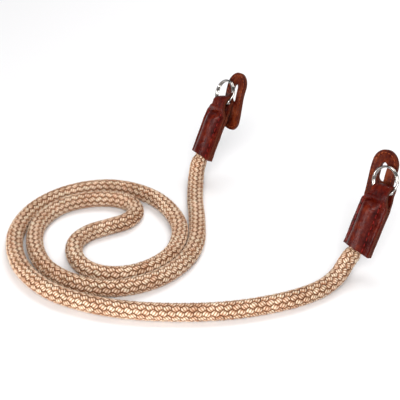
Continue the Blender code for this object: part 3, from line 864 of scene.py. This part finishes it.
def stitch_tree():
    """Stitches laid along lines on the leather, with a needle hole at each stitch's end, drawn as a dark
    grain of painted shade.
    """
    tree, given = new_geometry_tree("stitches", {
        "Spacing": "Float", "Stitch Length": "Float", "Thread Radius": "Float", "Slant": "Float",
        "Thread": "Material", "Hole Shade": "Material",
    })
    line = shaped(tree, "MeshToCurve", "Curve", {"Mesh": given["Geometry"]})
    line = shaped(tree, "ResampleCurve", "Curve", {"Curve": line, "Length": given["Spacing"]}, mode="LENGTH")
    tangent = shaped(tree, "InputTangent", "Tangent", {})
    out = shaped(tree, "InputNamedAttribute", "Attribute", {"Name": "out"}, data_type="FLOAT_VECTOR")
    leaning = vector(tree, "ADD", tangent, vector(
        tree, "SCALE", vector(tree, "CROSS_PRODUCT", out, tangent), scale=given["Slant"]))
    turned = add_node(tree, "FunctionNodeAxesToRotation", {
        "Primary Axis": out, "Secondary Axis": leaning}, primary_axis="Z", secondary_axis="X")

    thread = given["Thread Radius"]
    halfway = vector(tree, "SCALE", tangent, scale=given["Spacing"] * 0.5)
    between = shaped(tree, "SetPosition", "Geometry", {"Geometry": line, "Offset": halfway})
    stitch_size = joined(tree, given["Stitch Length"] * 0.5, thread, thread)
    hole_size = joined(tree, *(thread * share for share in HOLE_SHAPE))
    both = tree.nodes.new("GeometryNodeJoinGeometry")
    for points, rings, size, finish in (
            (line, 6, stitch_size, given["Thread"]), (between, 5, hole_size, given["Hole Shade"])):
        grain = shaped(tree, "MeshUVSphere", "Mesh", {"Segments": 8, "Rings": rings, "Radius": 1.0})
        laid = shaped(tree, "InstanceOnPoints", "Instances", {
            "Points": points, "Instance": grain, "Rotation": turned.outputs["Rotation"], "Scale": size})
        done = shaped(tree, "SetMaterial", "Geometry", {"Geometry": laid, "Material": finish})
        tree.links.new(done, both.inputs["Geometry"])
    return finished(tree, both.outputs["Geometry"])


def stitch_lines(name, side):
    """Two lines on each layer, beside the rope, from the mouth up to the shoulder."""
    place = end_matrix(side)
    first = MOUTH_AT - STITCH_FROM_MOUTH
    last = TONGUE_AT + STITCH_UP_SHOULDER * SHOULDER_LENGTH
    step = SLOPE_STEP
    points = []
    outs = []
    edges = []
    for face in (-1, 1):
        for hand in (-1, 1):
            reach = SLEEVE_WIDTH / 2 - hand * POCKET_SIDE[side]
            out = STITCH_OUT[hand]
            for k in range(SEAM_POINTS + 1):
                down = first + (last - first) * k / SEAM_POINTS
                keep = narrowing(down)
                relief = sleeve_relief(down, hand * out, reach, face)
                surface = layer_offset(down, out) + relief + LEATHER / 2 + STITCH_PROUD
                slope = (layer_offset(down, out + step) - layer_offset(down, out - step)) / (2 * step)
                x = hand * out + keep * POCKET_SIDE[side] + (1.0 - keep) * TONGUE_SIDE
                if k:
                    edges.append((len(points) - 1, len(points)))
                points.append(place @ Vector((x, face * surface, -down)))
                outs.append(place.to_3x3() @ Vector((-hand * slope, face, 0.0)).normalized())
    return sewing_mesh(name, points, edges, outs)


def border_lines(name, side):
    """A closed line inside the protector's edge on each of its faces."""
    place = end_matrix(side)
    step = SLOPE_STEP
    points = []
    outs = []
    edges = []
    for face in (-1, 1):
        first = len(points)
        for a, b in zip(slot_outline(PROTECTOR_STEPS), protector_outline(PROTECTOR_STEPS)):
            spot = b.lerp(a, PROTECTOR_LINE / (a - b).length)
            surface = protector_behind(spot.y) + CREASE_DEPTH + face * (PROTECTOR / 2 + STITCH_PROUD)
            slope = (protector_behind(spot.y + step) - protector_behind(spot.y - step)) / (2 * step)
            points.append(place @ Vector((spot.x - OUTWARD[side] * PROTECTOR_SIDE, surface, -spot.y)))
            outs.append(place.to_3x3() @ Vector((0.0, face, face * slope)).normalized())
        edges += [(k, k + 1) for k in range(first, len(points) - 1)] + [(len(points) - 1, first)]
    return sewing_mesh(name, points, edges, outs)


def sewing_mesh(name, points, edges, outs):
    """Lines of edges to sew along, which carry the leather's outward direction."""
    mesh = bpy.data.meshes.new(name)
    mesh.from_pydata(points, edges, [])
    stored = mesh.attributes.new("out", "FLOAT_VECTOR", "POINT")
    for item, out in zip(stored.data, outs):
        item.vector = out
    return mesh


# Materials


def new_material(name, roughness, **settings):
    made = bpy.data.materials.new(name)
    made.use_nodes = True
    shader = made.node_tree.nodes["Principled BSDF"]
    shader.inputs["Roughness"].default_value = roughness
    for label, value in settings.items():
        shader.inputs[label.replace("_", " ")].default_value = value
    return made, made.node_tree, shader


def ramp(tree, factor, stops):
    """A colour that runs through stops of (place, colour)."""
    node = tree.nodes.new("ShaderNodeValToRGB")
    elements = node.color_ramp.elements
    while len(elements) < len(stops):
        elements.new(0.5)
    for element, (place, colour) in zip(elements, stops):
        element.position = place
        element.color = (*colour, 1.0)
    feed(node.inputs["Fac"], factor)
    return node.outputs["Color"]


def mixed(tree, factor, first, second, blend="MIX"):
    node = tree.nodes.new("ShaderNodeMix")
    node.data_type = "RGBA"
    node.blend_type = blend
    feed(node.inputs[0], factor)
    for slot, colour in ((node.inputs[6], first), (node.inputs[7], second)):
        feed(slot, (*colour, 1.0) if isinstance(colour, tuple) else colour)
    return node.outputs[2]


def here_in(tree):
    return tree.nodes.new("ShaderNodeTexCoord").outputs["Object"]


def noise_at(tree, where, scale, detail=2.0, roughness=0.5):
    node = add_node(tree, "ShaderNodeTexNoise", {
        "Vector": where, "Scale": scale, "Detail": detail, "Roughness": roughness})
    return Number(tree, node.outputs[0])


def clamped(tree, value, low, high):
    """A value's place between low and high, from 0 to 1."""
    node = add_node(tree, "ShaderNodeMapRange", {
        "Value": value, "From Min": low, "From Max": high}, clamp=True)
    return Number(tree, node.outputs["Result"])


def bumped(tree, shader, height, distance, strength=1.0):
    node = add_node(tree, "ShaderNodeBump", {"Height": height, "Distance": distance, "Strength": strength})
    feed(shader.inputs["Normal"], node.outputs["Normal"])


def cotton_material():
    """Satiny strands with painted shade: brown where they dive under the others, in the grooves between
    yarns and at their edges, and lightest, as a painted highlight, where they ride on top.
    """
    made, tree, shader = new_material("braided_cotton", 0.5, Specular_IOR_Level=0.28, Sheen_Weight=0.05)
    yarn = add_node(tree, "ShaderNodeAttribute", {}, attribute_name="yarn").outputs["Vector"]
    across, along, level = parted(tree, yarn)
    blotches = noise_at(tree, here_in(tree), 110.0)
    tufts = noise_at(tree, joined(tree, 0.0, along * 0.23, 0.0), 1.0, detail=1.0)
    fibres = noise_at(tree, joined(tree, across * 7.0, along * 0.9, level), 1.0, detail=3.0, roughness=0.62)
    groove = 1.0 - worked(tree, "ABSOLUTE", worked(tree, "COSINE", across * math.pi / YARN_PITCH))
    border = clamped(tree, worked(tree, "ABSOLUTE", across), 0.72, 1.0)
    # Painted shade from the dive level, the yarn grooves and the strand edges, with a painted highlight at
    # the top of the ramp; blotches, tufts and fibres vary the tone at random.
    shade = 0.305 + level * 0.68 - groove * 0.22 - border * 0.17
    shade = shade + (blotches - 0.5) * 0.20 + (tufts - 0.5) * 0.18 + (fibres - 0.5) * 0.40
    colour = ramp(tree, shade, (
        (0.42, (0.040, 0.011, 0.003)), (0.61, (0.150, 0.051, 0.017)), (0.77, (0.31, 0.147, 0.070)),
        (0.89, (0.55, 0.350, 0.236)), (0.98, (0.90, 0.715, 0.575)),
    ))
    tanned = mixed(tree, clamped(tree, tufts, 0.35, 0.65), (1.0, 0.92, 0.86), (0.90, 0.95, 0.90))
    feed(shader.inputs["Base Color"], mixed(tree, 1.0, colour, tanned, blend="MULTIPLY"))
    feed(shader.inputs["Roughness"], 0.38 + 0.30 * fibres)
    bumped(tree, shader, fibres - groove * 0.4, 0.00024, 0.8)
    return made


def specked_material(name, roughness, shine, scale, detail, dark, light, relief):
    """Fine specks from a dark colour to a light one, raised by a relief in metres."""
    made, tree, shader = new_material(name, roughness, Specular_IOR_Level=shine)
    specks = noise_at(tree, here_in(tree), scale, detail=detail)
    feed(shader.inputs["Base Color"], ramp(tree, specks, ((0.3, dark), (0.7, light))))
    if relief:
        bumped(tree, shader, specks, relief)
    return made


def leather_material(name, shine, dark, mid, light):
    """Oiled leather: cloudy and streaked in colour, with a fine grain, darker creases in it and wrinkles."""
    made, tree, shader = new_material(name, 0.36, Specular_IOR_Level=shine)
    hide = add_node(tree, "ShaderNodeUVMap", {}, uv_map="hide").outputs["UV"]
    across, along, _ = parted(tree, hide)
    here = here_in(tree)
    clouds = noise_at(tree, here, 170.0, detail=3.0, roughness=0.55)
    streaks = noise_at(tree, joined(tree, across * 0.9, along * 0.16, 0.0), 1.0, detail=4.0, roughness=0.6)
    shade = clouds * 0.55 + streaks * 0.45
    colour = ramp(tree, shade, ((0.37, dark), (0.50, mid), (0.64, light)))
    cells = add_node(tree, "ShaderNodeTexVoronoi", {"Vector": here, "Scale": 2600.0, "Randomness": 1.0},
                     feature="DISTANCE_TO_EDGE")
    grain = clamped(tree, Number(tree, cells.outputs["Distance"]), 0.0, 0.22)
    feed(shader.inputs["Base Color"], mixed(tree, (1.0 - grain) * 0.35, colour, dark))
    feed(shader.inputs["Roughness"], 0.20 + 0.16 * noise_at(tree, here, 420.0, detail=2.0))
    wrinkles = noise_at(tree, joined(tree, across * 0.35, along * 0.8, 2.0), 1.0, detail=4.0)
    bumped(tree, shader, grain * 0.12 + wrinkles * 1.2, 0.00030, 0.6)
    return made


def edge_material():
    """The leather's cut edge: rough red-brown fibres."""
    made, tree, shader = new_material("leather_cut_edge", 0.6, Specular_IOR_Level=0.1)
    fibres = noise_at(tree, here_in(tree), 1700.0, detail=4.0, roughness=0.65)
    feed(shader.inputs["Base Color"], ramp(tree, fibres, (
        (0.30, (0.030, 0.005, 0.002)), (0.50, (0.075, 0.014, 0.006)), (0.72, (0.17, 0.045, 0.018)))))
    bumped(tree, shader, fibres, 0.0001, 0.8)
    return made


def nickel_material():
    """Polished nickel wire with a faint haze and fine scratches."""
    made, tree, shader = new_material("ring_nickel", 0.2, Metallic=1.0)
    here = here_in(tree)
    haze = noise_at(tree, here, 500.0, detail=3.0)
    feed(shader.inputs["Base Color"], ramp(tree, haze, (
        (0.35, (0.40, 0.38, 0.36)), (0.65, (0.56, 0.54, 0.51)))))
    feed(shader.inputs["Roughness"], 0.10 + 0.14 * haze)
    scratches = noise_at(tree, here, 6000.0, detail=2.0)
    bumped(tree, shader, scratches, 0.00001, 0.2)
    return made


# Stage and light


def add_stage():
    floor = bmesh.new()
    bmesh.ops.create_grid(floor, x_segments=1, y_segments=1, size=FLOOR_HALF)
    mesh = bpy.data.meshes.new("floor")
    floor.to_mesh(mesh)
    floor.free()
    mesh.transform(Matrix.Translation((0.0, 0.0, -HANG_HEIGHT - FLOOR_BELOW)))
    made, _, shader = new_material("floor_paper", 0.85)
    shader.inputs["Base Color"].default_value = FLOOR_COLOUR
    mesh.materials.append(made)
    add_piece("floor", mesh)


def add_light(name, location, aim, size, power, colour):
    lamp = bpy.data.lights.new(name, "AREA")
    lamp.shape = "DISK"
    lamp.size = size
    lamp.energy = power
    lamp.color = colour
    light = add_piece(name, lamp)
    light.location = location
    way = Vector(aim) - Vector(location)
    light.rotation_euler = way.to_track_quat("-Z", "Y").to_euler()


def add_lights():
    for name, settings in LIGHTS.items():
        add_light(name, *settings)
    world = bpy.data.worlds.new("studio")
    bpy.context.scene.world = world
    world.use_nodes = True
    backdrop = world.node_tree.nodes["Background"]
    backdrop.inputs["Color"].default_value = (1.0, 1.0, 1.0, 1.0)
    backdrop.inputs["Strength"].default_value = STUDIO_STRENGTH
    bpy.context.scene.view_settings.view_transform = "Standard"


def dress():
    add_camera()
    route = rope_route()
    # Dark brown painted shade for the rope's inside, seen in the gaps between strands.
    filling = specked_material(
        "cotton_filling_shade", 0.9, 0.5, 1500.0, 3.0, (0.075, 0.034, 0.014), (0.16, 0.08, 0.035), 0.0002)
    strands, core, length = add_braid(route, cotton_material(), filling)
    for piece in (*strands, core):
        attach(piece, "root")
        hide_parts("rope")

    sleeve_hide = leather_material(
        "sleeve_leather", 0.15, (0.024, 0.001, 0.0007), (0.070, 0.004, 0.0018), (0.150, 0.018, 0.005))
    tab_hide = leather_material(
        "protector_leather", 0.13, (0.032, 0.002, 0.0010), (0.084, 0.010, 0.003), (0.172, 0.032, 0.007))
    edge = edge_material()
    red = specked_material(
        "red_thread", 0.7, 0.15, 3000.0, 2.0, (0.09, 0.004, 0.004), (0.30, 0.016, 0.013), 0.0001)
    rust = specked_material(
        "rust_thread", 0.7, 0.15, 3000.0, 2.0, (0.13, 0.022, 0.006), (0.38, 0.085, 0.022), 0.0001)
    # The needle holes' near-black colour is painted shade.
    hole = specked_material(
        "needle_hole_shade", 0.9, 0.0, 2000.0, 2.0, (0.012, 0.003, 0.002), (0.03, 0.008, 0.005), 0.0)
    nickel = nickel_material()
    sewing = stitch_tree()
    for side in OUTWARD:
        name = f"sleeve_{side}_leather"
        sleeve = add_wall(name, sleeve_sheet(name, side), LEATHER, side, sleeve_hide, edge)
        name = f"sleeve_{side}_stitches"
        stitches = grow(add_piece(name, stitch_lines(name, side)), sewing, {
            "Spacing": STITCH_SPACING, "Stitch Length": STITCH_LENGTH, "Thread Radius": THREAD_RADIUS,
            "Slant": STITCH_SLANT, "Thread": red, "Hole Shade": hole})
        name = f"protector_{side}_leather"
        tab = add_wall(name, protector_sheet(name, side), PROTECTOR, side, tab_hide, edge)
        name = f"protector_{side}_stitches"
        border = grow(add_piece(name, border_lines(name, side)), sewing, {
            "Spacing": BORDER_SPACING, "Stitch Length": BORDER_STITCH, "Thread Radius": BORDER_THREAD_RADIUS,
            "Slant": BORDER_SLANT, "Thread": rust, "Hole Shade": hole})
        ring = ring_wire(f"ring_{side}_wire", side, nickel)
        for piece, node, slot in (
                (sleeve, f"leather_sleeve_{side}", "sleeve_leather"),
                (stitches, f"leather_sleeve_{side}", "sleeve_leather"),
                (tab, f"leather_protector_{side}", "protector_leather"),
                (border, f"leather_protector_{side}", "protector_leather"),
                (ring, f"split_ring_{side}", "ring_nickel")):
            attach(piece, "root")
            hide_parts(node)
    add_stage()
    add_lights()


dress()
